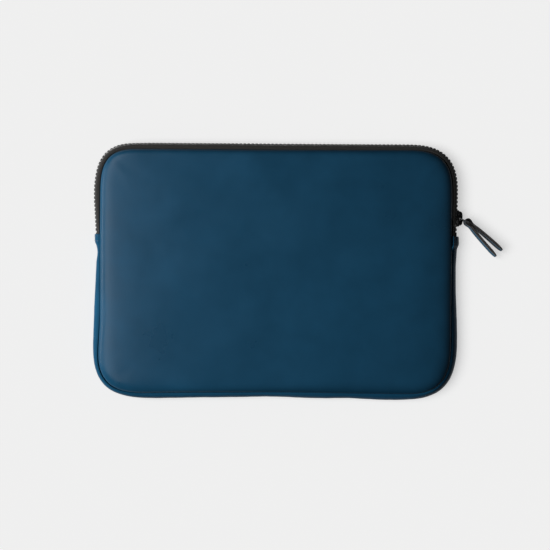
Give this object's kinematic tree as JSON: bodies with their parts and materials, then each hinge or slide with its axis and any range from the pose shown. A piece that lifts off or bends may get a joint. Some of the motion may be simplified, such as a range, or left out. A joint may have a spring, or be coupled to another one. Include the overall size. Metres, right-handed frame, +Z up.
{
  "type": "laptop sleeve",
  "caption": "Slim padded laptop sleeve with a gusseted edge, a moulded-tooth zip round its top half, a front that folds open and a folded strap puller on a wire link.",
  "frame": {"origin": "centre of the back panel's outer face, on which the sleeve lies", "axes": "+X across the width towards the zip slider, +Y towards the zipped top edge, +Z up towards the front panel"},
  "size_m": [0.394, 0.2441, 0.02],
  "materials": {
    "skin": "matte",
    "gusset": "matte",
    "strap": "satin",
    "foam": "matte",
    "lining": "matte",
    "binding": "matte",
    "zip_tape": "matte",
    "zip_teeth": "satin",
    "slider": "satin",
    "link": "satin",
    "thread": "matte",
    "edge_paint": "satin"
  },
  "bodies": {
    "sleeve_body": {"back_panel": "skin", "back_foam": "foam", "back_lining": "lining", "front_panel_lower": "skin", "front_foam_lower": "foam", "front_lining_lower": "lining", "gusset_strip": "gusset", "gusset_lining": "lining", "back_seam_binding": "binding", "front_seam_binding_lower": "binding", "gusset_tab_left": "gusset", "gusset_tab_right": "gusset", "zip_tape_back": "zip_tape", "zip_teeth_back": "zip_teeth", "zip_stop_left": "zip_teeth", "zip_stop_right": "zip_teeth"},
    "front_flap": {"front_panel_upper": "skin", "front_foam_upper": "foam", "front_lining_upper": "lining", "front_seam_binding_upper": "binding", "zip_tape_front": "zip_tape", "zip_teeth_front": "zip_teeth"},
    "slider": {"slider_body": "slider"},
    "link": {"pull_link": "link"},
    "strap": {"pull_strap": "strap"}
  },
  "joints": [
    {"name": "mouth_open", "type": "hinge", "parent": "sleeve_body", "child": "front_flap", "pos_m": [0, 0.034, 0.02], "axis": [1, 0, 0], "range_deg": [0, 42], "stiffness_Nm_per_rad": 0.05, "deforming": ["zip_tape_front", "zip_teeth_front"]},
    {"name": "slider_travel", "type": "slide", "parent": "sleeve_body", "child": "slider", "axis": [0, 1, 0], "range_m": [-0.008, 0.022], "deforming": ["zip_teeth_front", "zip_teeth_back"]},
    {"name": "link_swing", "type": "hinge", "parent": "slider", "child": "link", "pos_m": [0.177, 0.0506, 0.01], "axis": [0, 0, 1], "range_deg": [-21, 60]},
    {"name": "strap_swing", "type": "hinge", "parent": "link", "child": "strap", "pos_m": [0.18395, 0.04807, 0.01], "axis": [0, 0, 1], "range_deg": [-20, 45]}
  ]
}
